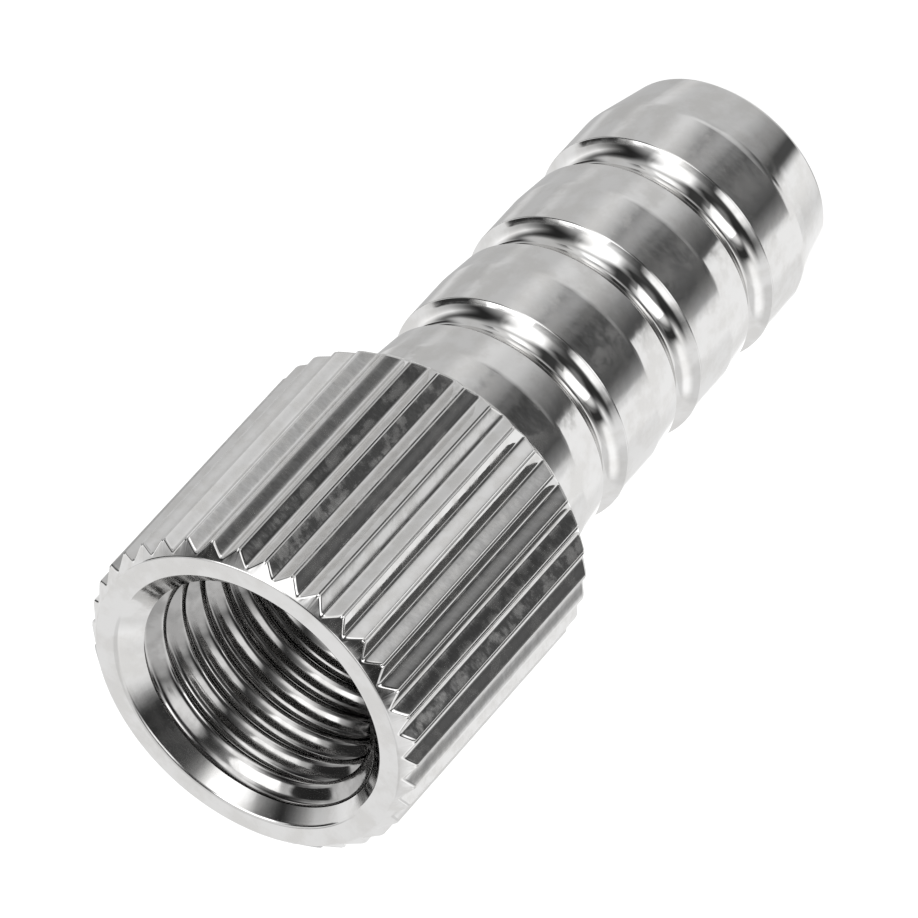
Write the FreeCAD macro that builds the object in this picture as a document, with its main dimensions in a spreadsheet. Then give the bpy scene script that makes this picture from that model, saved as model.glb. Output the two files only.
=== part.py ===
"""Hose connector: a knurled head with a tapped bore, and a tail with three grooves for a hose.

One turned piece of plated brass. It stands on the tail's end face, with the mouth of the
thread up: the origin is in the middle of that end face, and +Z is the axis. Lengths are in mm.
"""
import FreeCAD, Part
import math
import os

import Sketcher

Vector = FreeCAD.Vector

# Driving dimensions: word, value, what it is
DIMENSIONS = (
    ("head_diameter", 16.0, "over the crests of the knurl"),
    ("head_length", 14.5, "from the shoulder to the mouth"),
    ("head_chamfer", 0.65, "45 degree edge at both ends of the head"),
    ("knurl_count", 38, "flutes round the head"),
    ("knurl_depth", 0.43, "of a flute below the crests"),
    ("knurl_angle", 105.0, "between the two flanks of a flute"),
    ("knurl_root", 0.08, "radius at the bottom of a flute"),
    ("thread_diameter", 12.0, "nominal size of the internal thread"),
    ("thread_pitch", 1.5, "of the internal thread"),
    ("bore_depth", 12.5, "of the tapped bore, down to its drill point"),
    ("drill_angle", 118.0, "of the drill point"),
    ("mouth_lip", 0.5, "that the countersink is wider than the thread, on the radius"),
    ("mouth_angle", 90.0, "of the countersink"),
    ("water_diameter", 7.5, "of the way through the tail"),
    ("land_diameter", 11.7, "of the straight lands that hold the hose"),
    ("heel_angle", 5.7, "that the foot of a land slopes inwards"),
    ("heel_place", 2.5, "from the middle of a groove up to the straight land above it"),
    ("groove_count", 3, "grooves along the tail"),
    ("groove_pitch", 6.0, "from groove to groove"),
    ("groove_width", 1.9, "of a groove's parabolic section, level with the straight lands"),
    ("groove_depth", 0.7, "of a groove below the straight lands"),
    ("first_groove", 5.4, "from the shoulder to the middle of the nearest groove"),
    ("tip_length", 6.6, "from the last groove's middle to the tail's end"),
    ("tip_diameter", 10.4, "of the lead-in cone at the tail's end"),
    ("tip_chamfer", 0.25, "45 degree edge round the tail's end"),
    ("water_chamfer", 0.25, "where the water way meets the tail's end"),
)

# Heights above the tail's end, as expressions of the sheet
LAST_GROOVE = "Sizes.tip_length"
FIRST_GROOVE = "(Sizes.tip_length + (Sizes.groove_count - 1) * Sizes.groove_pitch)"
SHOULDER = f"({FIRST_GROOVE} + Sizes.first_groove)"
MOUTH = f"({SHOULDER} + Sizes.head_length)"

# Radii, as expressions of the sheet; the tapping bore is the thread less its pitch
HEAD_RADIUS = "(Sizes.head_diameter / 2)"
BORE_RADIUS = "((Sizes.thread_diameter - Sizes.thread_pitch) / 2)"
MOUTH_RADIUS = "(Sizes.thread_diameter / 2 + Sizes.mouth_lip)"
WATER_RADIUS = "(Sizes.water_diameter / 2)"
LAND_RADIUS = "(Sizes.land_diameter / 2)"
HEEL_RADIUS = f"({LAND_RADIUS} - Sizes.heel_place * tan(Sizes.heel_angle))"
TIP_RADIUS = "(Sizes.tip_diameter / 2)"

# How far a cut's section runs on outside the material
OVERCUT = 0.5

document = FreeCAD.newDocument("HoseConnector")
sheet = document.addObject("Spreadsheet::Sheet", "Sizes")
for row, (alias, value, meaning) in enumerate(DIMENSIONS, start=1):
    sheet.set(f"A{row}", alias)
    sheet.set(f"B{row}", str(value))
    sheet.set(f"C{row}", meaning)
    sheet.setAlias(f"B{row}", alias)
document.recompute()

body = document.addObject("PartDesign::Body", "hose_connector")
body.Label = "hose_connector"
body.Placement = FreeCAD.Placement(Vector(0, 0, 0), FreeCAD.Rotation())


def origin_feature(role):
    """The body's own origin plane or axis with this role."""
    for feature in body.Origin.OriginFeatures:
        if feature.Role == role:
            return feature
    raise LookupError(role)


def value_of(expression):
    """The number that an expression of the sheet gives."""
    return float(body.evalExpression(expression))


def place_of(across, along):
    """A point of a sketch from two expressions."""
    return Vector(value_of(across), value_of(along), 0)


def new_sketch(name, role):
    """An empty sketch on one of the body's origin planes."""
    sketch = body.newObject("Sketcher::SketchObject", name)
    sketch.AttachmentSupport = [(origin_feature(role), "")]
    sketch.MapMode = "FlatFace"
    return sketch


def bind(sketch, kind, *where, expression):
    """Add a dimension to the sketch and bind it to an expression."""
    constraint = Sketcher.Constraint(kind, *where, value_of(expression))
    number = sketch.addConstraint(constraint)
    name = "_".join([kind, *(str(item) for item in where if item >= 0)])
    sketch.renameConstraint(number, name)
    sketch.setExpression(f"Constraints.{name}", expression)


def pin(sketch, geometry, point, across, along):
    """Hold a point of the sketch at two distances from the origin, each an expression."""
    bind(sketch, "DistanceX", -1, 1, geometry, point, expression=across)
    bind(sketch, "DistanceY", -1, 1, geometry, point, expression=along)


def outline(name, corners):
    """A closed outline in the XZ plane; each corner is a radius and a height."""
    sketch = new_sketch(name, "XZ_Plane")
    places = [place_of(radius, height) for radius, height in corners]
    for index, place in enumerate(places):
        sketch.addGeometry(Part.LineSegment(place, places[(index + 1) % len(places)]), False)
    for index, (radius, height) in enumerate(corners):
        before = (index - 1) % len(corners)
        sketch.addConstraint(Sketcher.Constraint("Coincident", before, 2, index, 1))
        pin(sketch, index, 1, radius, height)
    return sketch


def turn(kind, name, sketch):
    """A full turn of a sketch round the axis, added (Revolution) or cut (Groove)."""
    feature = body.newObject(f"PartDesign::{kind}", name)
    feature.Profile = sketch
    feature.ReferenceAxis = (origin_feature("Z_Axis"), [""])
    feature.Angle = 360
    document.recompute()
    return feature


def repeat_up(name, feature, length, occurrences):
    """Copies of a feature along the axis, evenly spread over a length."""
    pattern = body.newObject("PartDesign::LinearPattern", name)
    pattern.Originals = [feature]
    pattern.Direction = (origin_feature("Z_Axis"), [""])
    pattern.setExpression("Length", length)
    pattern.setExpression("Occurrences", occurrences)
    body.Tip = pattern
    document.recompute()


def must_cut(feature):
    """A cut that points away from the solid removes nothing, so its volume is compared."""
    if not feature.Shape.Volume < feature.BaseFeature.Shape.Volume:
        raise RuntimeError(f"{feature.Name} removes nothing")


# Head: a cylinder with a 45 degree edge at each end
EDGE_RADIUS = f"({HEAD_RADIUS} - Sizes.head_chamfer)"
turn("Revolution", "Head", outline("HeadOutline", (
    ("0", SHOULDER),
    (EDGE_RADIUS, SHOULDER),
    (HEAD_RADIUS, f"{SHOULDER} + Sizes.head_chamfer"),
    (HEAD_RADIUS, f"{MOUTH} - Sizes.head_chamfer"),
    (EDGE_RADIUS, MOUTH),
    ("0", MOUTH),
)))

# Collar: the land between the shoulder and the first groove
turn("Revolution", "Collar", outline("CollarOutline", (
    ("0", FIRST_GROOVE),
    (HEEL_RADIUS, FIRST_GROOVE),
    (LAND_RADIUS, f"{FIRST_GROOVE} + Sizes.heel_place"),
    (LAND_RADIUS, SHOULDER),
    ("0", SHOULDER),
)))

# Tip: the land beyond the last groove, and the lead-in cone for the hose
TIP_LAND = f"({LAST_GROOVE} - Sizes.groove_pitch + Sizes.heel_place)"
turn("Revolution", "Tip", outline("TipOutline", (
    ("0", "0"),
    (f"{TIP_RADIUS} - Sizes.tip_chamfer", "0"),
    (TIP_RADIUS, "Sizes.tip_chamfer"),
    (LAND_RADIUS, TIP_LAND),
    (LAND_RADIUS, LAST_GROOVE),
    ("0", LAST_GROOVE),
)))

# Lands: the first one stands on the last groove's middle, and the others follow up to the collar
land = turn("Revolution", "Land", outline("LandOutline", (
    ("0", LAST_GROOVE),
    (HEEL_RADIUS, LAST_GROOVE),
    (LAND_RADIUS, f"{LAST_GROOVE} + Sizes.heel_place"),
    (LAND_RADIUS, f"{LAST_GROOVE} + Sizes.groove_pitch"),
    ("0", f"{LAST_GROOVE} + Sizes.groove_pitch"),
)))
repeat_up("Lands", land, "Sizes.groove_pitch * (Sizes.groove_count - 2)", "Sizes.groove_count - 1")

# Grooves: a parabola with its vertex on the groove's floor, closed by a line outside the lands
FLOOR_RADIUS = f"({LAND_RADIUS} - Sizes.groove_depth)"
FOCAL_LENGTH = "(Sizes.groove_width ^ 2 / (16 * Sizes.groove_depth))"
OPEN_RADIUS = f"({LAND_RADIUS} + {OVERCUT})"
OPEN_HALF_WIDTH = f"sqrt(4 * {FOCAL_LENGTH} * ({OPEN_RADIUS} - {FLOOR_RADIUS}))"
section = new_sketch("GrooveSection", "XZ_Plane")
vertex = place_of(FLOOR_RADIUS, LAST_GROOVE)
focus = place_of(f"{FLOOR_RADIUS} + {FOCAL_LENGTH}", LAST_GROOVE)
reach = value_of(OPEN_HALF_WIDTH)
parabola = Part.ArcOfParabola(Part.Parabola(focus, vertex, Vector(0, 0, 1)), -reach, reach)
section.addGeometry(parabola, False)
section.addGeometry(Part.LineSegment(parabola.EndPoint, parabola.StartPoint), False)
section.addConstraint(Sketcher.Constraint("Coincident", 0, 2, 1, 1))
section.addConstraint(Sketcher.Constraint("Coincident", 1, 2, 0, 1))
section.exposeInternalGeometry(0)
pin(section, 0, 3, FLOOR_RADIUS, LAST_GROOVE)
pin(section, 2, 1, f"{FLOOR_RADIUS} + {FOCAL_LENGTH}", LAST_GROOVE)
bind(section, "DistanceX", -1, 1, 1, 1, expression=OPEN_RADIUS)
bind(section, "DistanceX", -1, 1, 1, 2, expression=OPEN_RADIUS)
hose_groove = turn("Groove", "HoseGroove", section)
must_cut(hose_groove)
repeat_up(
    "HoseGrooves", hose_groove, "Sizes.groove_pitch * (Sizes.groove_count - 1)", "Sizes.groove_count")

# Bore: countersink, tapping bore, drill point, water way and the chamfer at the tail's end
COUNTERSINK_DEPTH = f"(({MOUTH_RADIUS} - {BORE_RADIUS}) / tan(Sizes.mouth_angle / 2))"
BORE_FLOOR = f"({MOUTH} - Sizes.bore_depth)"
DRILL_DEPTH = f"(({BORE_RADIUS} - {WATER_RADIUS}) / tan(Sizes.drill_angle / 2))"
bore = turn("Groove", "Bore", outline("BoreOutline", (
    ("0", f"0 - {OVERCUT}"),
    (f"{WATER_RADIUS} + Sizes.water_chamfer + {OVERCUT}", f"0 - {OVERCUT}"),
    (WATER_RADIUS, "Sizes.water_chamfer"),
    (WATER_RADIUS, f"{BORE_FLOOR} - {DRILL_DEPTH}"),
    (BORE_RADIUS, BORE_FLOOR),
    (BORE_RADIUS, f"{MOUTH} - {COUNTERSINK_DEPTH}"),
    (f"{MOUTH_RADIUS} + {OVERCUT} * tan(Sizes.mouth_angle / 2)", f"{MOUTH} + {OVERCUT}"),
    ("0", f"{MOUTH} + {OVERCUT}"),
)))
must_cut(bore)

# Flute: one groove of the knurl, two straight flanks that meet in a small round root
HALF_ANGLE = "(Sizes.knurl_angle / 2)"
ROOT_CENTRE = f"({HEAD_RADIUS} - Sizes.knurl_depth + Sizes.knurl_root)"
FLUTE_APEX = f"({ROOT_CENTRE} - Sizes.knurl_root / sin({HALF_ANGLE}))"
OUTSIDE = f"({HEAD_RADIUS} + {OVERCUT})"
HALF_WIDTH = f"(({OUTSIDE} - {FLUTE_APEX}) * tan({HALF_ANGLE}))"
half_angle = math.radians(value_of(HALF_ANGLE))
root = value_of("Sizes.knurl_root")
root_centre = place_of(ROOT_CENTRE, "0")
upper_root = root_centre + Vector(-root * math.sin(half_angle), root * math.cos(half_angle), 0)
lower_root = Vector(upper_root.x, -upper_root.y, 0)
upper_mouth = place_of(OUTSIDE, HALF_WIDTH)
lower_mouth = Vector(upper_mouth.x, -upper_mouth.y, 0)
flute_section = new_sketch("FluteSection", "XY_Plane")
flute_section.addGeometry(Part.LineSegment(upper_root, upper_mouth), False)
flute_section.addGeometry(Part.LineSegment(upper_mouth, lower_mouth), False)
flute_section.addGeometry(Part.LineSegment(lower_mouth, lower_root), False)
root_circle = Part.Circle(root_centre, Vector(0, 0, 1), root)
root_arc = Part.ArcOfCircle(root_circle, math.pi / 2 + half_angle, 3 * math.pi / 2 - half_angle)
flute_section.addGeometry(root_arc, False)
flute_section.addConstraint(Sketcher.Constraint("Tangent", 0, 1, 3, 1))
flute_section.addConstraint(Sketcher.Constraint("Coincident", 0, 2, 1, 1))
flute_section.addConstraint(Sketcher.Constraint("Coincident", 1, 2, 2, 1))
flute_section.addConstraint(Sketcher.Constraint("Tangent", 2, 2, 3, 2))
bind(flute_section, "Radius", 3, expression="Sizes.knurl_root")
pin(flute_section, 3, 3, ROOT_CENTRE, "0")
pin(flute_section, 0, 2, OUTSIDE, HALF_WIDTH)
pin(flute_section, 2, 1, OUTSIDE, f"0 - {HALF_WIDTH}")
flute = body.newObject("PartDesign::Pocket", "Flute")
flute.Profile = flute_section
flute.Reversed = True
flute.setExpression("Length", MOUTH)
document.recompute()
must_cut(flute)

# Knurl: the flute repeated round the head
knurl = body.newObject("PartDesign::PolarPattern", "Knurl")
knurl.Originals = [flute]
knurl.Axis = (origin_feature("Z_Axis"), [""])
knurl.Angle = 360
knurl.setExpression("Occurrences", "Sizes.knurl_count")
body.Tip = knurl
document.recompute()

# Every feature is sound and the body is one valid solid before it is written
for item in document.Objects:
    if "Invalid" in item.State or "Error" in item.State:
        raise RuntimeError(f"{item.Name} failed: {item.State}")
shape = body.Shape
if shape.isNull() or not shape.isValid() or len(shape.Solids) != 1:
    raise RuntimeError("hose_connector is not one valid solid")

os.makedirs("parts", exist_ok=True)
shape.exportStep("parts/hose_connector.step")
print(f"hose_connector: {shape.Volume:.1f} cubic mm, {len(shape.Faces)} faces")
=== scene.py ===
"""Looks of the hose connector: one turned, knurled and threaded fitting in bright nickel plate.

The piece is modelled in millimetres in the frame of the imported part, and brought to metres at
the end. It stands on the end of its tail, with the mouth of the thread up.
"""

import logging
import math
from dataclasses import dataclass, field
from enum import Enum
from typing import Callable, Sequence

import bmesh
import bpy
from mathutils import Matrix, Vector


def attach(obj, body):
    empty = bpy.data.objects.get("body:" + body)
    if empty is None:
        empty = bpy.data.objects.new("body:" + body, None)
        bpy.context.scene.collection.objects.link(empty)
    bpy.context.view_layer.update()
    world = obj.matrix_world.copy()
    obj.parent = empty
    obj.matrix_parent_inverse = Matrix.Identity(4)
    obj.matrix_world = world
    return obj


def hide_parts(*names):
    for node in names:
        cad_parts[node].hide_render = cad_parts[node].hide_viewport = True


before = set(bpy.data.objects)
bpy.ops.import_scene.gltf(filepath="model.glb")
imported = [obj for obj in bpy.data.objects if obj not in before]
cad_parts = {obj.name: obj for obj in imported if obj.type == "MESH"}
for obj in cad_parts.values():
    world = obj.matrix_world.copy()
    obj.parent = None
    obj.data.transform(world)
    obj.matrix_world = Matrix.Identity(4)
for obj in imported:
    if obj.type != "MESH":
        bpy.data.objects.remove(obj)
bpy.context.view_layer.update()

logger = logging.getLogger("hose_connector")

Point = tuple[float, float]
Value = bpy.types.NodeSocket | float

MM = 0.001
MM_IN_METRE = 1000.0
MICROMETRE = 1e-6
FULL_TURN = 2 * math.pi

# How closely a place is matched, and how far apart doubled vertices may lie, in millimetres
NEAR = 0.004
DOUBLES = 0.0005

# Heights above the tail's end, in millimetres
SHOULDER = 24.0
MOUTH = 38.5

# Edge length of the plane that is merged to a chain's first vertex, in millimetres
SEED_SIZE = 1

# Values of the cloud noise between which bright plate turns into stain
CLOUD_SPAN = (0.38, 0.64)


class Zone(Enum):
    """The differently finished parts of the surface; the value is the material slot's number."""

    TAIL = 0
    KNURL = 1
    FACE = 2
    BORE = 3


@dataclass(frozen=True)
class Corner:
    """A corner of an outline: radius from the axis, height, and how it is rounded."""

    radius: float
    height: float
    rounding: float = 0.0
    steps: int = 3

    def point(self) -> Vector:
        """The corner as a flat vector."""
        return Vector((self.radius, self.height))


def rounded(corners: Sequence[Corner], support: float = 0.02) -> list[Point]:
    """Trace an outline with its roundings, and a support point beside each of them.

    Args:
        corners: the outline's corners in order.
        support: how far the support points stand from a rounding's ends.

    Returns:
        The points of the outline as radius and height.
    """
    points: list[Vector] = []
    for index, corner in enumerate(corners):
        here = corner.point()
        if corner.rounding == 0 or index in (0, len(corners) - 1):
            points.append(here)
            continue
        back = (corners[index - 1].point() - here).normalized()
        ahead = (corners[index + 1].point() - here).normalized()
        half = back.angle(ahead) / 2
        reach = corner.rounding / math.tan(half)
        centre = here + (back + ahead).normalized() * corner.rounding / math.sin(half)
        first = here + back * reach - centre
        last = here + ahead * reach - centre
        sweep = first.angle_signed(last)
        points.append(here + back * (reach + support))
        for step in range(corner.steps + 1):
            turned = first.copy()
            turned.rotate(Matrix.Rotation(-sweep * step / corner.steps, 2))
            points.append(centre + turned)
        points.append(here + ahead * (reach + support))
    return [(point.x, point.y) for point in points]


def deselect_all() -> None:
    """Leave edit mode, and leave no object selected."""
    if bpy.context.object and bpy.context.object.mode != "OBJECT":
        bpy.ops.object.mode_set(mode="OBJECT")
    bpy.ops.object.select_all(action="DESELECT")


def make_active(piece: bpy.types.Object) -> None:
    """Select one object alone and make it the active one.

    Args:
        piece: the object.
    """
    deselect_all()
    piece.select_set(True)
    bpy.context.view_layer.objects.active = piece


def start_chain(name: str, points: Sequence[Point]) -> bpy.types.Object:
    """Draw a chain of edges in the XZ plane by extruding one vertex from point to point.

    Args:
        name: the new object's name.
        points: radius and height of each vertex.

    Returns:
        The object, left in edit mode with its last vertex selected.
    """
    deselect_all()
    bpy.ops.mesh.primitive_plane_add(size=SEED_SIZE, location=(0, 0, 0))
    piece = bpy.context.object
    piece.name = name
    piece.data.name = name
    bpy.ops.object.mode_set(mode="EDIT")
    bpy.ops.mesh.select_all(action="SELECT")
    bpy.ops.mesh.merge(type="CENTER")
    bpy.ops.transform.translate(value=(points[0][0], 0, points[0][1]))
    for before, after in zip(points, points[1:]):
        move = (after[0] - before[0], 0, after[1] - before[1])
        bpy.ops.mesh.extrude_region_move(TRANSFORM_OT_translate={"value": move})
    return piece


def spin_all(steps: int, angle: float = FULL_TURN, copies: bool = False) -> None:
    """Spin everything that is selected anticlockwise round the axis, seen from the mouth.

    Args:
        steps: how many steps the turn has.
        angle: the whole turn.
        copies: True for separate copies, False for a skin between the steps.
    """
    # The operator turns clockwise round its axis, so it is given the axis that points down
    bpy.ops.mesh.spin(steps=steps, angle=angle, dupli=copies, center=(0, 0, 0), axis=(0, 0, -1))


def merge_all(distance: float = DOUBLES) -> None:
    """Merge the vertices that lie on each other."""
    bpy.ops.mesh.select_all(action="SELECT")
    bpy.ops.mesh.remove_doubles(threshold=distance)


def select_where(piece: bpy.types.Object, kind: str, test: Callable) -> int:
    """Select the vertices, edges or faces of the piece in edit mode that pass a test.

    Args:
        piece: the object in edit mode.
        kind: "verts", "edges" or "faces".
        test: takes one element and says whether it is wanted.

    Returns:
        How many were selected.
    """
    bpy.ops.mesh.select_mode(type={"verts": "VERT", "edges": "EDGE", "faces": "FACE"}[kind])
    bpy.ops.mesh.select_all(action="DESELECT")
    mesh = bmesh.from_edit_mesh(piece.data)
    count = 0
    for element in getattr(mesh, kind):
        if test(element):
            element.select_set(True)
            count += 1
    bmesh.update_edit_mesh(piece.data)
    return count


def radius_of(place: Vector) -> float:
    """Distance of a point from the axis."""
    return math.hypot(place.x, place.y)


def on_open_ring(radius: float, height: float) -> Callable:
    """Make a test for the open edges on a ring.

    Args:
        radius: the ring's radius, which may be off by ten times what a height may be.
        height: the ring's height.

    Returns:
        The test, which takes an edge.
    """
    def test(edge: bmesh.types.BMEdge) -> bool:
        """Whether the edge is open and lies on the ring.

        Args:
            edge: the edge.

        Returns:
            True for an open edge with both ends on the ring.
        """
        return edge.is_boundary and all(
            abs(vertex.co.z - height) < NEAR and abs(radius_of(vertex.co) - radius) < 10 * NEAR
            for vertex in edge.verts)

    return test


@dataclass
class Tail:
    """The hose tail: lead-in cone, three parabolic grooves and the lands between them."""

    end_inner: float = 4.4
    end_edge: float = 0.1
    tip_radius: float = 5.2
    tip_chamfer: float = 0.25
    tip_rounding: float = 0.25
    tip_steps: int = 4
    land_radius: float = 5.85
    lead_in: float = 3.1
    lead_in_rounding: float = 1.6
    lead_in_steps: int = 2
    groove_places: tuple[float, ...] = (6.6, 12.6, 18.6)
    groove_width: float = 1.9
    groove_depth: float = 0.7
    heel_angle: float = math.radians(5.7)
    heel_place: float = 2.5
    shoulder: float = SHOULDER
    shoulder_outer: float = 6.2
    shoulder_fillet: float = 0.08
    samples: int = 18
    lip: float = 0.05
    heel_rounding: float = 2.0
    heel_steps: int = 2
    steps: int = 200

    def groove(self, middle: float) -> list[Corner]:
        """Corners of one groove and of the heel that leads up to the next land.

        Args:
            middle: the height of the groove's middle.

        Returns:
            The corners from the groove's lower lip to the straight land.
        """
        half = self.groove_width / 2
        slope = math.tan(self.heel_angle)
        floor = self.land_radius - self.groove_depth
        # The parabola meets the heel where depth * u^2 = (depth - drop) + half * slope * u
        drop = self.heel_place * slope
        root = math.sqrt((half * slope) ** 2 + 4 * self.groove_depth * (self.groove_depth - drop))
        upper = (half * slope + root) / (2 * self.groove_depth)
        corners = [Corner(self.land_radius, middle - half, self.lip)]
        for index in range(1, self.samples):
            share = -1 + (upper + 1) * index / self.samples
            corners.append(Corner(floor + self.groove_depth * share ** 2, middle + share * half))
        foot = floor + self.groove_depth * upper ** 2
        corners.append(Corner(foot, middle + upper * half, self.lip))
        land_start = middle + self.heel_place
        corners.append(Corner(self.land_radius, land_start, self.heel_rounding, self.heel_steps))
        return corners

    def outline(self) -> list[Point]:
        """The tail's outline from its end face up to the shoulder.

        Returns:
            The points of the outline as radius and height.
        """
        corners = [
            Corner(self.end_inner, 0),
            Corner(self.tip_radius - self.tip_chamfer, 0, self.end_edge),
            Corner(self.tip_radius, self.tip_chamfer, self.tip_rounding, self.tip_steps),
            Corner(self.land_radius, self.lead_in, self.lead_in_rounding, self.lead_in_steps),
        ]
        for middle in self.groove_places:
            corners.extend(self.groove(middle))
        corners.append(Corner(self.land_radius, self.shoulder, self.shoulder_fillet))
        corners.append(Corner(self.shoulder_outer, self.shoulder))
        return rounded(corners)

    def build(self) -> bpy.types.Object:
        """Turn the outline round the axis.

        Returns:
            The tail as an open skin, in object mode.
        """
        piece = start_chain("tail", self.outline())
        bpy.ops.mesh.select_all(action="SELECT")
        spin_all(self.steps)
        merge_all()
        bpy.ops.object.mode_set(mode="OBJECT")
        return piece


@dataclass
class Head:
    """The knurled head: one flute is modelled and repeated round the axis."""

    radius: float = 8.0
    chamfer: float = 0.58
    shoulder: float = SHOULDER
    mouth: float = MOUTH
    shoulder_inner: float = 6.4
    mouth_inner: float = 6.9
    flutes: int = 38
    edge_rounding: float = 0.12
    crest_rounding: float = 0.25
    crest_steps: int = 4
    edge_margin: float = 0.07
    # Distance along the rim from the flute's root, and depth below the head's full radius;
    # rolling the knurl leaves a crest of two ridges with a shallow valley between them
    section: tuple[Point, ...] = (
        (0.0, 0.405),
        (0.041, 0.399),
        (0.083, 0.382),
        (0.124, 0.358),
        (0.21, 0.301),
        (0.33, 0.212),
        (0.45, 0.120),
        (0.54, 0.052),
        (0.572, 0.030),
        (0.590, 0.020),
        (0.606, 0.020),
        (0.628, 0.032),
        (0.6614, 0.047),
    )

    def outline(self, wall: float) -> list[Point]:
        """Outline of the head along one column of the knurl.

        Args:
            wall: the radius at which the head's wall stands there.

        Returns:
            The points of the outline as radius and height, from the shoulder to the mouth.
        """
        edge = self.radius - self.chamfer
        reach = wall - edge
        return rounded([
            Corner(self.shoulder_inner, self.shoulder),
            Corner(edge, self.shoulder, self.edge_rounding),
            Corner(wall, self.shoulder + reach, self.crest_rounding, self.crest_steps),
            Corner(wall, self.mouth - reach, self.crest_rounding, self.crest_steps),
            Corner(edge, self.mouth, self.edge_rounding),
            Corner(self.mouth_inner, self.mouth),
        ])

    def columns(self) -> list[Point]:
        """Places of the columns of one flute, from root to root.

        Returns:
            The angle and the wall's radius of each column.
        """
        half = FULL_TURN / self.flutes / 2
        span = self.section[-1][0]
        first = [(place / span * half, self.radius - depth) for place, depth in self.section]
        second = [(2 * half - angle, wall) for angle, wall in reversed(first[:-1])]
        return first + second

    def build(self) -> bpy.types.Object:
        """Spin the outline column by column through one flute, and copy the flute.

        Returns:
            The head as an open skin, in object mode.
        """
        columns = self.columns()
        piece = start_chain("head", self.outline(columns[0][1]))
        bpy.ops.mesh.select_all(action="SELECT")
        for (angle, wall), (next_angle, next_wall) in zip(columns, columns[1:]):
            spin_all(1, next_angle - angle)
            self.push_walls(piece, next_angle, next_wall - wall)
        bpy.ops.mesh.select_all(action="SELECT")
        spin_all(self.flutes - 1, FULL_TURN * (self.flutes - 1) / self.flutes, copies=True)
        merge_all()
        bpy.ops.object.mode_set(mode="OBJECT")
        return piece

    def push_walls(self, piece: bpy.types.Object, angle: float, step: float) -> None:
        """Move the new column's wall in or out, and its ends along the chamfers.

        Args:
            piece: the head in edit mode, with the new column selected.
            angle: where the new column stands.
            step: how far its wall moves outwards.
        """
        mesh = bmesh.from_edit_mesh(piece.data)
        column = [vertex for vertex in mesh.verts if vertex.select]
        middle = (self.shoulder + self.mouth) / 2
        inside = self.radius - self.chamfer + self.edge_margin
        for end in (-1, 1):
            for vertex in mesh.verts:
                vertex.select_set(False)
            for vertex in column:
                if radius_of(vertex.co) > inside and (vertex.co.z - middle) * end > 0:
                    vertex.select_set(True)
            bmesh.update_edit_mesh(piece.data)
            move = (math.cos(angle) * step, math.sin(angle) * step, -end * step)
            bpy.ops.transform.translate(value=move)
        for vertex in column:
            vertex.select_set(True)
        mesh.select_flush(True)
        bmesh.update_edit_mesh(piece.data)


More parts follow.
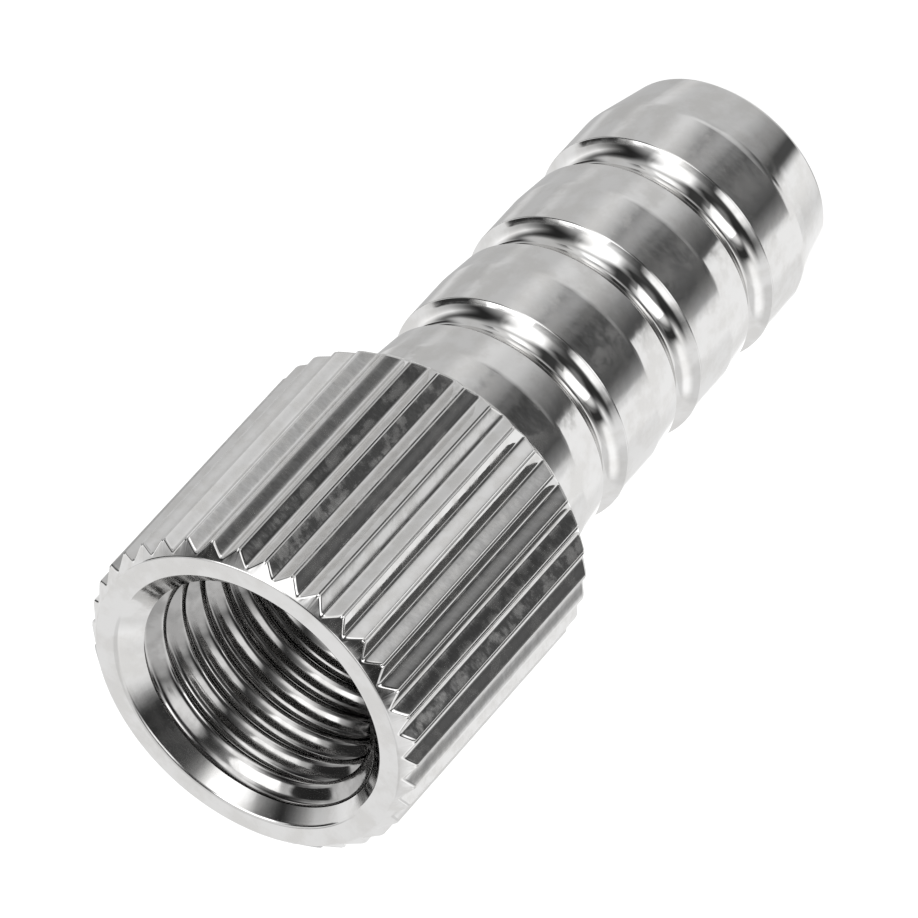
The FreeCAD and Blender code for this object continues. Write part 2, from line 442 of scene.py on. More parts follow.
@dataclass
class Thread:
    """The internal thread, its countersink, and the bore and water way below it."""

    mouth: float = MOUTH
    mouth_radius: float = 6.5
    mouth_outer: float = 6.7
    mouth_rounding: float = 0.3
    mouth_steps: int = 4
    cone_depth: float = 1.6
    cone_over: float = 0.4
    cone_turn_steps: int = 240
    cone_margin: float = 0.2
    crest_radius: float = 5.25
    root_radius: float = 5.98
    pitch: float = 1.5
    samples: int = 18
    first_crest: float = MOUTH - 14.113
    turns: int = 10
    steps: int = 220
    cut_low: float = MOUTH - 12.0
    cut_high: float = MOUTH + 0.6
    fade_low: float = MOUTH - 11.8
    fade_high: float = MOUTH - 10.2
    water_radius: float = 3.75
    water_chamfer: float = 0.25
    drill_floor: float = MOUTH - 12.5
    drill_point: float = MOUTH - 13.4
    end_outer: float = 4.3
    small_edge: float = 0.05
    cut_merge: float = 0.002
    ring_merge: float = 0.13
    facing_down: float = -0.9
    sharp_above: float = math.radians(6)

    def section(self) -> list[Point]:
        """One pitch of the thread, with round crests and roots, from one crest to the next.

        Returns:
            The points of the section as radius and height.
        """
        depth = self.root_radius - self.crest_radius
        points = []
        for index in range(self.samples + 1):
            share = index / self.samples
            radius = self.crest_radius + depth * (1 - math.cos(FULL_TURN * share)) / 2
            points.append((radius, self.first_crest + self.pitch * share))
        return points

    def build_tap(self) -> bpy.types.Object:
        """The threaded core that the hole leaves room for.

        Returns:
            The core as a closed solid, in object mode.
        """
        tap = start_chain("tap", self.section())
        deselect_all()
        make_active(tap)
        screw = tap.modifiers.new("Helix", "SCREW")
        screw.axis = "Z"
        screw.angle = FULL_TURN
        screw.screw_offset = self.pitch
        screw.iterations = self.turns
        screw.steps = self.steps
        screw.render_steps = self.steps
        bpy.ops.object.modifier_apply(modifier=screw.name)
        self.fade(tap)
        bpy.ops.object.mode_set(mode="EDIT")
        merge_all()
        bpy.ops.mesh.bisect(
            plane_co=(0, 0, self.cut_low), plane_no=(0, 0, 1), use_fill=True, clear_inner=True)
        bpy.ops.mesh.select_all(action="SELECT")
        bpy.ops.mesh.bisect(
            plane_co=(0, 0, self.cut_high), plane_no=(0, 0, 1), use_fill=True, clear_outer=True)
        merge_all(self.cut_merge)
        bpy.ops.mesh.select_all(action="SELECT")
        bpy.ops.mesh.normals_make_consistent(inside=False)
        bpy.ops.object.mode_set(mode="OBJECT")
        return tap

    def fade(self, tap: bpy.types.Object) -> None:
        """Let the thread run out into the smooth bore, as the first turns of a tap cut it.

        Args:
            tap: the core in object mode.
        """
        for vertex in tap.data.vertices:
            share = (vertex.co.z - self.fade_low) / (self.fade_high - self.fade_low)
            share = min(max(share, 0.0), 1.0)
            radius = radius_of(vertex.co)
            wanted = self.crest_radius + (radius - self.crest_radius) * share
            vertex.co.x *= wanted / radius
            vertex.co.y *= wanted / radius

    def build_cone(self) -> bpy.types.Object:
        """The countersink's cone, which reaches over the mouth.

        Returns:
            The cone as a closed solid, in object mode.
        """
        floor = self.mouth - self.cone_depth
        top = self.mouth + self.cone_over
        cone = start_chain("countersink", rounded([
            Corner(0, floor),
            Corner(self.mouth_radius - self.cone_depth, floor),
            Corner(self.mouth_radius, self.mouth, self.mouth_rounding, self.mouth_steps),
            Corner(self.mouth_outer, self.mouth),
            Corner(self.mouth_outer, top),
            Corner(0, top),
        ]))
        bpy.ops.mesh.select_all(action="SELECT")
        spin_all(self.cone_turn_steps)
        merge_all()
        bpy.ops.mesh.normals_make_consistent(inside=False)
        bpy.ops.object.mode_set(mode="OBJECT")
        return cone

    def build(self) -> bpy.types.Object:
        """Join tap and cone, open their ends and carry the hole down to the tail's end.

        Returns:
            The whole inner surface as an open skin, in object mode.
        """
        tap = self.build_tap()
        cone = self.build_cone()
        make_active(tap)
        union = tap.modifiers.new("Union", "BOOLEAN")
        union.operation = "UNION"
        union.solver = "EXACT"
        union.object = cone
        bpy.ops.object.modifier_apply(modifier=union.name)
        bpy.data.objects.remove(cone)
        bpy.ops.object.mode_set(mode="EDIT")
        self.mark_countersink(tap)
        self.open_ends(tap)
        self.carry_down(tap)
        merge_all()
        bpy.ops.object.mode_set(mode="OBJECT")
        return tap

    def mark_countersink(self, tap: bpy.types.Object) -> None:
        """Mark the edge where the thread runs out into the countersink as sharp.

        Args:
            tap: the joined solid in edit mode.
        """
        def on_cone(vertex: bmesh.types.BMVert) -> bool:
            """Whether a vertex lies on the cone, below its rounded rim.

            Args:
                vertex: the vertex.

            Returns:
                True if it does.
            """
            lift = radius_of(vertex.co) - self.mouth_radius
            below_rim = vertex.co.z < self.mouth - self.cone_margin
            return abs(lift - (vertex.co.z - self.mouth)) < NEAR and below_rim

        def wanted(edge: bmesh.types.BMEdge) -> bool:
            """Whether an edge lies on the cone and bends.

            Args:
                edge: the edge.

            Returns:
                True if it does.
            """
            if not all(on_cone(vertex) for vertex in edge.verts) or len(edge.link_faces) != 2:
                return False
            return edge.calc_face_angle(0) > self.sharp_above

        select_where(tap, "edges", wanted)
        bpy.ops.mesh.mark_sharp()

    def open_ends(self, tap: bpy.types.Object) -> None:
        """Take away what stands over the mouth, and the face that closes the lower end.

        Args:
            tap: the joined solid in edit mode.
        """
        above = self.mouth + NEAR
        below = self.cut_low + NEAR

        def closes_below(face: bmesh.types.BMFace) -> bool:
            """Whether a face closes the lower end.

            Args:
                face: the face.

            Returns:
                True if it does.
            """
            return face.calc_center_median().z < below and face.normal.z < self.facing_down

        select_where(tap, "faces", lambda face: face.calc_center_median().z > above)
        bpy.ops.mesh.delete(type="FACE")
        select_where(tap, "faces", closes_below)
        bpy.ops.mesh.delete(type="FACE")

    def carry_down(self, tap: bpy.types.Object) -> None:
        """Extrude the open lower ring along the bore, the drill point and the water way.

        Args:
            tap: the inner surface in edit mode.
        """
        below = self.cut_low + NEAR

        def lowest(element: bmesh.types.BMVert | bmesh.types.BMEdge) -> bool:
            """Whether a vertex or an edge is on the open lower ring.

            Args:
                element: the vertex or edge.

            Returns:
                True if it is.
            """
            ends = getattr(element, "verts", (element,))
            return element.is_boundary and all(end.co.z < below for end in ends)

        select_where(tap, "verts", lowest)
        bpy.ops.mesh.remove_doubles(threshold=self.ring_merge)
        select_where(tap, "edges", lowest)
        places = rounded([
            Corner(self.crest_radius, self.cut_low),
            Corner(self.crest_radius, self.drill_floor, self.small_edge),
            Corner(self.water_radius, self.drill_point, self.small_edge),
            Corner(self.water_radius, self.water_chamfer, self.small_edge),
            Corner(self.water_radius + self.water_chamfer, 0, self.small_edge),
            Corner(self.end_outer, 0),
        ])
        for (radius, height), (next_radius, next_height) in zip(places, places[1:]):
            share = next_radius / radius
            move = {"value": (0, 0, next_height - height)}
            bpy.ops.mesh.extrude_region_move(TRANSFORM_OT_translate=move)
            bpy.ops.transform.resize(value=(share, share, 1), center_override=(0, 0, 0))


@dataclass
class Fitting:
    """The whole connector: its skins joined into one closed piece and dressed."""

    tail: Tail = field(default_factory=Tail)
    head: Head = field(default_factory=Head)
    thread: Thread = field(default_factory=Thread)
    seam_doubles: float = 0.0001
    shortest_edge: float = 0.0002
    smooth_below: float = math.radians(25)

    def build(self) -> bpy.types.Object:
        """Join the three skins, close the flat rings between them and bring it to metres.

        Returns:
            The finished piece, in object mode.
        """
        skins = [self.tail.build(), self.head.build(), self.thread.build()]
        deselect_all()
        for skin in skins:
            skin.select_set(True)
        bpy.context.view_layer.objects.active = skins[0]
        bpy.ops.object.join()
        piece = bpy.context.object
        piece.name = "turned_fitting"
        piece.data.name = "turned_fitting"
        bpy.ops.object.mode_set(mode="EDIT")
        # Height of each flat ring, and the radii of the two open rings that it joins
        seams = (
            (SHOULDER, self.tail.shoulder_outer, self.head.shoulder_inner),
            (MOUTH, self.thread.mouth_outer, self.head.mouth_inner),
            (0.0, self.tail.end_inner, self.thread.end_outer),
        )
        for height, first, second in seams:
            on_first = on_open_ring(first, height)
            on_second = on_open_ring(second, height)
            count = select_where(piece, "edges", lambda edge: on_first(edge) or on_second(edge))
            logger.info("seam at %.1f mm: %d open edges", height, count)
            bpy.ops.mesh.bridge_edge_loops()
        merge_all(self.seam_doubles)
        bpy.ops.mesh.dissolve_degenerate(threshold=self.shortest_edge)
        bpy.ops.mesh.normals_make_consistent(inside=False)
        bpy.ops.mesh.select_all(action="SELECT")
        bpy.ops.transform.resize(value=(MM, MM, MM), center_override=(0, 0, 0))
        bpy.ops.object.mode_set(mode="OBJECT")
        make_active(piece)
        bpy.ops.object.shade_smooth_by_angle(angle=self.smooth_below, keep_sharp_edges=True)
        return piece

    def dress(self, piece: bpy.types.Object) -> None:
        """Give every zone of the piece its own finish.

        Args:
            piece: the finished piece.
        """
        groups = {tree.name: tree for tree in (place_group(), plating_group(), tool_mark_group())}
        for zone in Zone:
            piece.data.materials.append(FINISHES[zone].make(groups))
        zones = Zones()
        for face in piece.data.polygons:
            face.material_index = zones.of(face.center, face.normal).value


class Bench:
    """Adds nodes to one tree and links them."""

    def __init__(self, tree: bpy.types.NodeTree) -> None:
        """Work on this tree."""
        self.tree = tree

    def node(self, kind: str, **settings: object) -> bpy.types.Node:
        """Add a node of this kind with these settings.

        Args:
            kind: the node's type name.
            settings: its own properties by name.

        Returns:
            The new node.
        """
        node = self.tree.nodes.new(kind)
        for name, value in settings.items():
            setattr(node, name, value)
        return node

    def feed(self, value: Value, socket: bpy.types.NodeSocket) -> None:
        """Link a socket into another one, or set a plain number on it.

        Args:
            value: the socket or the number.
            socket: the input that takes it.
        """
        if isinstance(value, bpy.types.NodeSocket):
            self.tree.links.new(value, socket)
        else:
            socket.default_value = value

    def maths(self, operation: str, *values: Value) -> bpy.types.NodeSocket:
        """Do a sum on numbers or sockets.

        Args:
            operation: the sum's name.
            values: what it is done on.

        Returns:
            The socket with the result.
        """
        node = self.node("ShaderNodeMath", operation=operation)
        for value, socket in zip(values, node.inputs):
            self.feed(value, socket)
        return node.outputs[0]

    def span(
            self, value: Value, start: float, stop: float, low: Value,
            high: Value) -> bpy.types.NodeSocket:
        """Carry a value smoothly from one span over to another.

        Args:
            value: what is read.
            start: where the change begins.
            stop: where it is over.
            low: the result up to start.
            high: the result from stop on.

        Returns:
            The socket with the result.
        """
        node = self.node("ShaderNodeMapRange", interpolation_type="SMOOTHSTEP")
        names = ("Value", "From Min", "From Max", "To Min", "To Max")
        for name, given in zip(names, (value, start, stop, low, high)):
            self.feed(given, node.inputs[name])
        return node.outputs["Result"]

    def noise(
            self, place: Value, scale: Value, detail: float,
            roughness: float) -> bpy.types.NodeSocket:
        """Cloudy noise on a place.

        Args:
            place: the coordinates.
            scale: how many features there are along one unit of them.
            detail: how many finer layers there are.
            roughness: how strong the finer layers are.

        Returns:
            The socket with values round a half.
        """
        node = self.node("ShaderNodeTexNoise")
        self.feed(place, node.inputs["Vector"])
        self.feed(scale, node.inputs["Scale"])
        self.feed(detail, node.inputs["Detail"])
        self.feed(roughness, node.inputs["Roughness"])
        return node.outputs["Fac"]


@dataclass
class Group:
    """A shader node group under construction, with the names of its inputs and results."""

    name: str
    vectors: Sequence[str]
    numbers: Sequence[str]
    results: Sequence[str]
    tree: bpy.types.ShaderNodeTree = field(init=False)
    given: bpy.types.bpy_prop_collection = field(init=False)
    out: bpy.types.bpy_prop_collection = field(init=False)

    def begin(self) -> Bench:
        """Make the group with its sockets.

        Returns:
            A bench on its tree.
        """
        self.tree = bpy.data.node_groups.new(self.name, "ShaderNodeTree")
        for side, kind, names in (
                ("INPUT", "NodeSocketVector", self.vectors),
                ("INPUT", "NodeSocketFloat", self.numbers),
                ("OUTPUT", "NodeSocketFloat", self.results)):
            for name in names:
                self.tree.interface.new_socket(name, in_out=side, socket_type=kind)
        bench = Bench(self.tree)
        self.given = bench.node("NodeGroupInput").outputs
        self.out = bench.node("NodeGroupOutput").inputs
        return bench


def place_group() -> bpy.types.ShaderNodeTree:
    """Radius and height of a point of the part, in millimetres.

    Returns:
        The node group.
    """
    group = Group(
        "Place on the part", vectors=("Place",), numbers=(), results=("Radius", "Height"))
    bench = group.begin()
    parts = bench.node("ShaderNodeSeparateXYZ")
    bench.feed(group.given["Place"], parts.inputs[0])
    across = bench.maths("MULTIPLY", parts.outputs["X"], parts.outputs["X"])
    deep = bench.maths("MULTIPLY", parts.outputs["Y"], parts.outputs["Y"])
    radius = bench.maths("SQRT", bench.maths("ADD", across, deep))
    bench.feed(bench.maths("MULTIPLY", radius, MM_IN_METRE), group.out["Radius"])
    bench.feed(bench.maths("MULTIPLY", parts.outputs["Z"], MM_IN_METRE), group.out["Height"])
    return group.tree


def plating_group() -> bpy.types.ShaderNodeTree:
    """The plate's cloudiness and its uneven skin; sizes in millimetres, heights in micrometres.

    Returns:
        The node group.
    """
    group = Group(
        "Uneven plating",
        vectors=("Place",),
        numbers=("Cloud size", "Wave size", "Wave height", "Grain size", "Grain height"),
        results=("Cloud", "Height"))
    bench = group.begin()
    place = group.given["Place"]

    def per_metre(name: str) -> bpy.types.NodeSocket:
        """How many features of this size fit in a metre."""
        return bench.maths("DIVIDE", MM_IN_METRE, group.given[name])

    cloud = bench.noise(place, per_metre("Cloud size"), detail=3.0, roughness=0.6)
    wave = bench.noise(place, per_metre("Wave size"), detail=2.0, roughness=0.45)
    grain = bench.noise(place, per_metre("Grain size"), detail=2.0, roughness=0.5)
    waves = bench.maths("MULTIPLY", wave, group.given["Wave height"])
    grains = bench.maths("MULTIPLY", grain, group.given["Grain height"])
    bench.feed(bench.span(cloud, *CLOUD_SPAN, 0.0, 1.0), group.out["Cloud"])
    bench.feed(bench.maths("ADD", waves, grains), group.out["Height"])
    return group.tree


def tool_mark_group() -> bpy.types.ShaderNodeTree:
    """Fine lines that a tool leaves along its travel, as a height in micrometres.

    Returns:
        The node group.
    """
    group = Group(
        "Tool marks", vectors=(), numbers=("Travel", "Pitch", "Depth"), results=("Height",))
    bench = group.begin()
    lines = bench.node("ShaderNodeTexNoise", noise_dimensions="1D")
    bench.feed(group.given["Travel"], lines.inputs["W"])
    bench.feed(bench.maths("DIVIDE", 1.0, group.given["Pitch"]), lines.inputs["Scale"])
    lines.inputs["Detail"].default_value = 2.0
    lines.inputs["Roughness"].default_value = 0.7
    depth = bench.maths("MULTIPLY", lines.outputs["Fac"], group.given["Depth"])
    bench.feed(depth, group.out["Height"])
    return group.tree


class Travel(Enum):
    """The way that the tool went over a surface."""

    UP_THE_WALL = "Height"
    OUT_FROM_THE_AXIS = "Radius"


@dataclass(frozen=True)
class Nickel:
    """Bright nickel plate over turned brass; sizes in millimetres, heights in micrometres."""

    name: str
    colour: tuple[float, float, float] = (0.785, 0.781, 0.776)
    stain: tuple[float, float, float] = (0.72, 0.712, 0.70)
    bright: float = 0.04
    dull: float = 0.14
    cloud_size: float = 1.3
    wave_size: float = 0.9
    wave_height: float = 6.0
    grain_size: float = 0.16
    grain_height: float = 0.4
    travel: Travel = Travel.UP_THE_WALL
    mark_pitch: float = 0.09
    mark_depth: float = 0.15
    polished_below: float = 0.0
    polish_reach: float = 0.12
    polish_share: float = 0.35

    def make(self, groups: dict[str, bpy.types.ShaderNodeTree]) -> bpy.types.Material:
        """Build the material from the shared groups.

        Args:
            groups: the node groups by name.

        Returns:
            The material.
        """
        material = bpy.data.materials.new(self.name)
        material.use_nodes = True
        bench = Bench(material.node_tree)
        shader = material.node_tree.nodes["Principled BSDF"]
        where = bench.node("ShaderNodeTexCoord").outputs["Object"]
        place = bench.node("ShaderNodeGroup", node_tree=groups["Place on the part"])
        bench.feed(where, place.inputs["Place"])
        plating = bench.node("ShaderNodeGroup", node_tree=groups["Uneven plating"])
        bench.feed(where, plating.inputs["Place"])
        plating.inputs["Cloud size"].default_value = self.cloud_size
        plating.inputs["Wave size"].default_value = self.wave_size
        plating.inputs["Wave height"].default_value = self.wave_height
        plating.inputs["Grain size"].default_value = self.grain_size
        plating.inputs["Grain height"].default_value = self.grain_height
        marks = bench.node("ShaderNodeGroup", node_tree=groups["Tool marks"])
        bench.feed(place.outputs[self.travel.value], marks.inputs["Travel"])
        marks.inputs["Pitch"].default_value = self.mark_pitch
        marks.inputs["Depth"].default_value = self.mark_depth
        colour = bench.node("ShaderNodeMix", data_type="RGBA")
        bench.feed(plating.outputs["Cloud"], colour.inputs["Factor"])
        colour.inputs["A"].default_value = (*self.colour, 1)
        colour.inputs["B"].default_value = (*self.stain, 1)
        roughness = bench.span(plating.outputs["Cloud"], 0.0, 1.0, self.bright, self.dull)
        height = bench.maths("ADD", plating.outputs["Height"], marks.outputs["Height"])
        if self.polished_below > 0:
            start = self.polished_below - self.polish_reach
            radius = place.outputs["Radius"]
            keep = bench.span(radius, start, self.polished_below, self.polish_share, 1.0)
            roughness = bench.maths("MULTIPLY", roughness, keep)
            height = bench.maths("MULTIPLY", height, keep)
        bump = bench.node("ShaderNodeBump")
        bump.inputs["Strength"].default_value = 1.0
        bump.inputs["Distance"].default_value = MICROMETRE
        bench.feed(height, bump.inputs["Height"])
        bench.feed(colour.outputs["Result"], shader.inputs["Base Color"])
        bench.feed(roughness, shader.inputs["Roughness"])
        bench.feed(bump.outputs["Normal"], shader.inputs["Normal"])
        shader.inputs["Metallic"].default_value = 1
        return material


FINISHES = {
    Zone.TAIL: Nickel("bright nickel on the tail", polished_below=5.7),
    Zone.KNURL: Nickel(
        "rolled nickel of the knurl",
        cloud_size=0.8,
        wave_size=0.6,
        wave_height=4.5,
    ),
    Zone.FACE: Nickel(
        "faced nickel of the ends",
        bright=0.08,
        dull=0.15,
        wave_height=4.0,
        travel=Travel.OUT_FROM_THE_AXIS,
        mark_pitch=0.14,
        mark_depth=0.5,
    ),
    # The bore's colour and stain are written well below the plate's own: painted shade of the deep
    # thread and water way
    Zone.BORE: Nickel(
        "tapped nickel of the bore with painted shade",
        colour=(0.52, 0.515, 0.51),
        stain=(0.4, 0.395, 0.39),
        bright=0.07,
        dull=0.12,
        wave_height=3.0,
        grain_height=0.2,
    ),
}


@dataclass(frozen=True)
class Zones:
    """Where the differently finished parts of the surface meet; sizes in millimetres."""

    flat_above: float = 0.99
    end_reach: float = 0.05
    end_inside: float = 3.9
    cone_mouth: float = 6.5
    cone_foot: float = 5.3
    cone_reach: float = 0.03
    rim_depth: float = 0.25
    rim_inside: float = 6.3
    head_inside: float = 7.0
    tail_inside: float = 4.5

    def of(self, middle: Vector, normal: Vector) -> Zone:
        """The zone that a face belongs to.

        Args:
            middle: the face's middle, in metres.
            normal: the face's normal.

        Returns:
            The zone.
        """
        radius = radius_of(middle) / MM
        height = middle.z / MM
        in_head = height > SHOULDER
        at_an_end = any(abs(height - end) < self.end_reach for end in (0.0, SHOULDER, MOUTH))
        if abs(normal.z) > self.flat_above and at_an_end and radius > self.end_inside:
            return Zone.FACE
        off_cone = abs(MOUTH - height - self.cone_mouth + radius)
        if in_head and off_cone < self.cone_reach and radius > self.cone_foot:
            return Zone.FACE
        if height > MOUTH - self.rim_depth and self.rim_inside < radius < self.head_inside:
            return Zone.FACE
        if in_head and radius > self.head_inside:
            return Zone.KNURL
        if radius > self.tail_inside and height < SHOULDER:
            return Zone.TAIL
        return Zone.BORE


@dataclass(frozen=True)
class Card:
    """A light or dark panel of the studio, placed by its angles in degrees from the camera.

    The angles are taken from the part: across to the right of the camera, above it, and the
    panel's own tilt; then half its width and height, the softness of its edge and its level.
    """

    across: float
    above: float
    tilt: float
    half_width: float
    half_height: float
    softness: float
    level: float

    def axes(self, camera_turn: Matrix) -> tuple[Vector, Vector, Vector]:
        """The panel's own directions in the world.

        Args:
            camera_turn: the camera's rotation.

        Returns:
            The directions to the panel's right, along its height and out to it.
        """
        across = math.radians(self.across)
        above = math.radians(self.above)
        tilt = math.radians(self.tilt)
        ahead = Vector((
            math.cos(above) * math.sin(across),
            math.sin(above),
            math.cos(above) * math.cos(across),
        ))
        level_up = Vector((
            -math.sin(above) * math.sin(across),
            math.cos(above),
            -math.sin(above) * math.cos(across),
        ))
        level_right = level_up.cross(ahead)
        up = level_up * math.cos(tilt) + level_right * math.sin(tilt)
        right = level_right * math.cos(tilt) - level_up * math.sin(tilt)
        return camera_turn @ right, camera_turn @ up, camera_turn @ ahead


CARDS = (
    Card(-79.6, 35.0, -48.5, 27.1, 39.9, 16.0, 0.018),
    Card(-104.0, 18.8, -3.1, 27.0, 2.1, 12.7, 1.186),
    Card(-11.6, 36.1, 32.8, 19.2, 48.6, 5.1, 1.32),
    Card(-40.1, 54.1, 10.8, 53.4, 7.0, 15.2, 0.34),
    Card(32.3, -2.5, -35.6, 16.7, 15.4, 0.9, 1.79),
    Card(54.5, 27.6, -34.8, 17.7, 27.0, 2.2, 1.66),
    Card(10.8, -21.9, -23.8, 15.8, 33.0, 9.0, 0.023),
    Card(7.8, -51.0, -25.4, 87.4, 2.2, 8.2, 0.045),
    Card(-29.2, -27.0, 70.3, 15.4, 36.1, 13.6, 0.045),
    Card(31.2, 35.3, -35.3, 37.5, 17.2, 11.8, 0.036),
    Card(88.0, 15.2, 20.6, 15.7, 45.6, 19.5, 0.05),
    Card(51.1, -88.4, -30.3, 92.2, 14.2, 2.5, 0.599),
    Card(-131.4, 49.3, 26.1, 11.1, 41.1, 0.8, 0.036),
    Card(138.8, 10.9, -9.4, 38.8, 21.3, 1.7, 0.791),
    Card(142.2, 19.7, 108.5, 17.9, 10.4, 7.7, 0.143),
    Card(57.7, -25.4, 46.3, 7.6, 24.8, 5.3, 0.027),
    Card(-14.8, -35.7, -33.2, 11.5, 10.3, 4.5, 1.006),
    Card(82.5, -56.9, -59.0, 11.2, 24.0, 7.6, 0.938),
    Card(71.5, 70.9, 15.0, 3.1, 13.2, 11.8, 0.05),
    Card(35.1, -45.1, 66.5, 11.9, 4.2, 8.2, 0.87),
    Card(15.1, -12.7, 96.5, 6.7, 8.6, 5.0, 0.18),
    Card(-41.4, 20.7, 97.4, 15.6, 4.9, 12.7, 0.072),
    Card(-151.3, 81.7, 49.3, 2.9, 35.8, 9.7, 0.61),
    Card(-173.7, 10.5, -3.9, 5.1, 29.2, 2.4, 1.107),
    Card(76.6, 32.0, -21.7, 2.5, 18.3, 3.6, 0.032),
    Card(166.4, -1.1, -44.7, 7.7, 11.9, 3.0, 1.006),
    Card(148.8, 66.3, 89.7, 8.1, 18.0, 4.3, 0.42),
    Card(107.5, 27.8, 44.4, 5.8, 8.9, 4.3, 0.059),
    Card(-52.0, -10.0, 18.0, 14.0, 8.5, 1.5, 1.7),
    Card(-85.0, -4.0, 0.0, 13.5, 8.5, 2.0, 0.027),
    Card(-27.5, -40.5, 62.0, 16.0, 5.0, 2.0, 0.023),
    Card(-175.0, 12.0, 0.0, 10.0, 29.0, 4.0, 0.42),
    Card(-150.0, 68.0, 0.0, 40.0, 16.0, 8.0, 0.48),
    Card(-157.0, 38.0, 0.0, 12.0, 12.0, 6.0, 0.45),
)


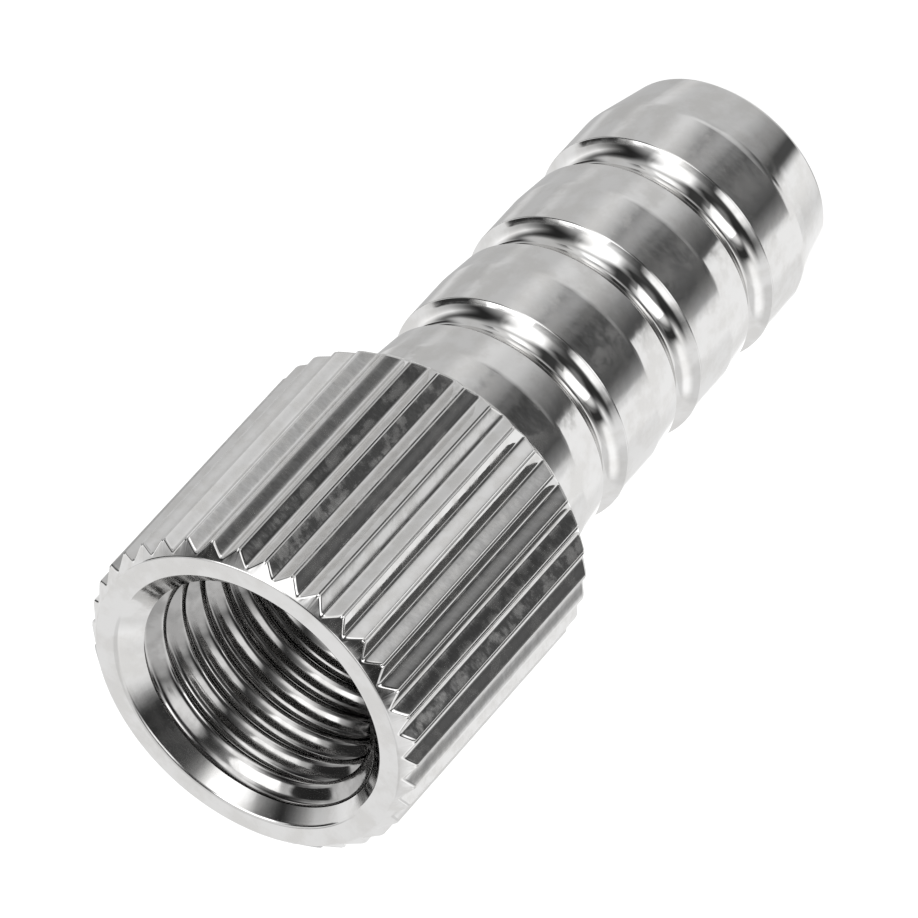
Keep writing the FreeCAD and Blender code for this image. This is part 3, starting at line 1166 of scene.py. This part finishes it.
@dataclass
class Studio:
    """Floor, surrounding light and camera."""

    camera_place: tuple[float, float, float] = (-0.0354443, -0.3831206, 0.3257988)
    camera_turn: tuple[float, float, float] = (-43.1556, 31.7463, -156.0200)
    lens: float = 455.51
    film_width: float = 36
    nearest: float = 0.01
    farthest: float = 20
    floor_size: float = 4.0
    floor_colour: tuple[float, float, float] = (0.25, 0.25, 0.25)
    floor_roughness: float = 0.9
    floor_glow: float = 0.9
    # A near-black disc in the water way's end, which is painted shade
    pad_radius: float = 0.0039
    pad_height: float = 0.00005
    pad_sides: int = 64
    pad_colour: tuple[float, float, float] = (0.03, 0.03, 0.03)
    pad_roughness: float = 1.0
    # Light that the plate sends back where no panel is, and the share that it sends back
    surround: float = 0.7
    plate: float = 0.77
    cards: tuple[Card, ...] = CARDS

    def build_camera(self) -> None:
        """Place the camera at the photograph's viewing angle."""
        deselect_all()
        turn = tuple(math.radians(angle) for angle in self.camera_turn)
        bpy.ops.object.camera_add(location=self.camera_place, rotation=turn)
        camera = bpy.context.object
        camera.data.lens = self.lens
        camera.data.sensor_width = self.film_width
        camera.data.clip_start = self.nearest
        camera.data.clip_end = self.farthest
        bpy.context.scene.camera = camera

    def build_floor(self) -> None:
        """A plain pale floor under the part, which the plate doesn't mirror."""
        deselect_all()
        bpy.ops.mesh.primitive_plane_add(size=self.floor_size, location=(0, 0, 0))
        floor = bpy.context.object
        floor.name = "floor"
        floor.visible_glossy = False
        material = bpy.data.materials.new("pale floor")
        material.use_nodes = True
        bench = Bench(material.node_tree)
        shader = material.node_tree.nodes["Principled BSDF"]
        shader.inputs["Base Color"].default_value = (*self.floor_colour, 1)
        shader.inputs["Roughness"].default_value = self.floor_roughness
        shader.inputs["Emission Color"].default_value = (1, 1, 1, 1)
        seen = bench.node("ShaderNodeLightPath").outputs["Is Camera Ray"]
        glow = bench.maths("MULTIPLY", seen, self.floor_glow)
        bench.feed(glow, shader.inputs["Emission Strength"])
        floor.data.materials.append(material)

    def build_pad(self) -> None:
        """A dark disc in the end of the water way, painted shade for the floor that lies in shadow
        under the part, so that no light comes up through it.
        """
        deselect_all()
        bpy.ops.mesh.primitive_circle_add(
            vertices=self.pad_sides, radius=self.pad_radius, fill_type="NGON",
            location=(0, 0, self.pad_height))
        pad = bpy.context.object
        pad.name = "shade_pad"
        material = bpy.data.materials.new("painted shade in the water way's end")
        material.use_nodes = True
        shader = material.node_tree.nodes["Principled BSDF"]
        shader.inputs["Base Color"].default_value = (*self.pad_colour, 1)
        shader.inputs["Roughness"].default_value = self.pad_roughness
        pad.data.materials.append(material)

    def card_group(self) -> bpy.types.ShaderNodeTree:
        """A node group that lays one panel over the light that is there already.

        Returns:
            The node group.
        """
        group = Group(
            "Studio card",
            vectors=("Direction", "Right", "Up", "Ahead"),
            numbers=("Light", "Half width", "Half height", "Softness", "Level"),
            results=("Light",))
        bench = group.begin()
        given = group.given

        def along(name: str) -> bpy.types.NodeSocket:
            """How far the direction points along one of the panel's own directions.

            Args:
                name: the input that holds the panel's direction.

            Returns:
                The socket with the share.
            """
            node = bench.node("ShaderNodeVectorMath", operation="DOT_PRODUCT")
            bench.feed(given["Direction"], node.inputs[0])
            bench.feed(given[name], node.inputs[1])
            return node.outputs["Value"]

        def inside(angle: bpy.types.NodeSocket, half: str) -> bpy.types.NodeSocket:
            """From 1 inside the panel's half size to 0 outside it.

            Args:
                angle: how far the direction is from the panel's middle.
                half: the input that holds the half size.

            Returns:
                The socket with the share.
            """
            room = bench.maths("SUBTRACT", given[half], bench.maths("ABSOLUTE", angle))
            room = bench.maths("ADD", room, given["Softness"])
            share = bench.maths("DIVIDE", room, bench.maths("MULTIPLY", given["Softness"], 2.0))
            return bench.maths("MINIMUM", bench.maths("MAXIMUM", share, 0.0), 1.0)

        across = bench.maths("ARCTAN2", along("Right"), along("Ahead"))
        above = bench.maths("ARCSINE", along("Up"))
        cover = bench.maths("MULTIPLY", inside(across, "Half width"), inside(above, "Half height"))
        mix = bench.node("ShaderNodeMix", data_type="FLOAT")
        bench.feed(bench.span(cover, 0.0, 1.0, 0.0, 1.0), mix.inputs["Factor"])
        bench.feed(given["Light"], mix.inputs["A"])
        bench.feed(given["Level"], mix.inputs["B"])
        bench.feed(mix.outputs["Result"], group.out["Light"])
        return group.tree

    def build_world(self) -> None:
        """The surround with its panels for what the plate mirrors, and plain white for the rest."""
        world = bpy.data.worlds.new("studio")
        bpy.context.scene.world = world
        world.use_nodes = True
        bench = Bench(world.node_tree)
        direction = bench.node("ShaderNodeTexCoord").outputs["Generated"]
        tree = self.card_group()
        turn = bpy.context.scene.camera.rotation_euler.to_matrix()
        light: Value = self.surround / self.plate
        for card in self.cards:
            node = bench.node("ShaderNodeGroup", node_tree=tree)
            bench.feed(light, node.inputs["Light"])
            bench.feed(direction, node.inputs["Direction"])
            for name, axis in zip(("Right", "Up", "Ahead"), card.axes(turn)):
                node.inputs[name].default_value = axis
            node.inputs["Half width"].default_value = math.radians(card.half_width)
            node.inputs["Half height"].default_value = math.radians(card.half_height)
            node.inputs["Softness"].default_value = math.radians(card.softness)
            node.inputs["Level"].default_value = card.level / self.plate
            light = node.outputs["Light"]
        mirrored = world.node_tree.nodes["Background"]
        mirrored.inputs["Color"].default_value = (1, 1, 1, 1)
        bench.feed(light, mirrored.inputs["Strength"])
        plain = bench.node("ShaderNodeBackground")
        plain.inputs["Color"].default_value = (1, 1, 1, 1)
        mix = bench.node("ShaderNodeMixShader")
        bench.feed(bench.node("ShaderNodeLightPath").outputs["Is Glossy Ray"], mix.inputs[0])
        bench.feed(plain.outputs[0], mix.inputs[1])
        bench.feed(mirrored.outputs[0], mix.inputs[2])
        bench.feed(mix.outputs[0], world.node_tree.nodes["World Output"].inputs["Surface"])
        world.cycles.sampling_method = "NONE"

    def build(self) -> None:
        """Build the stage."""
        self.build_camera()
        self.build_floor()
        self.build_pad()
        self.build_world()
        bpy.context.scene.view_settings.view_transform = "Standard"


def main() -> None:
    """Build and dress the piece, then the stage round it."""
    logging.basicConfig(level=logging.INFO, format="%(name)s: %(message)s")
    fitting = Fitting()
    piece = fitting.build()
    fitting.dress(piece)
    logger.info("%s: %d faces", piece.name, len(piece.data.polygons))
    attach(piece, "root")
    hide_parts("hose_connector")
    Studio().build()


if __name__ == "__main__":
    main()
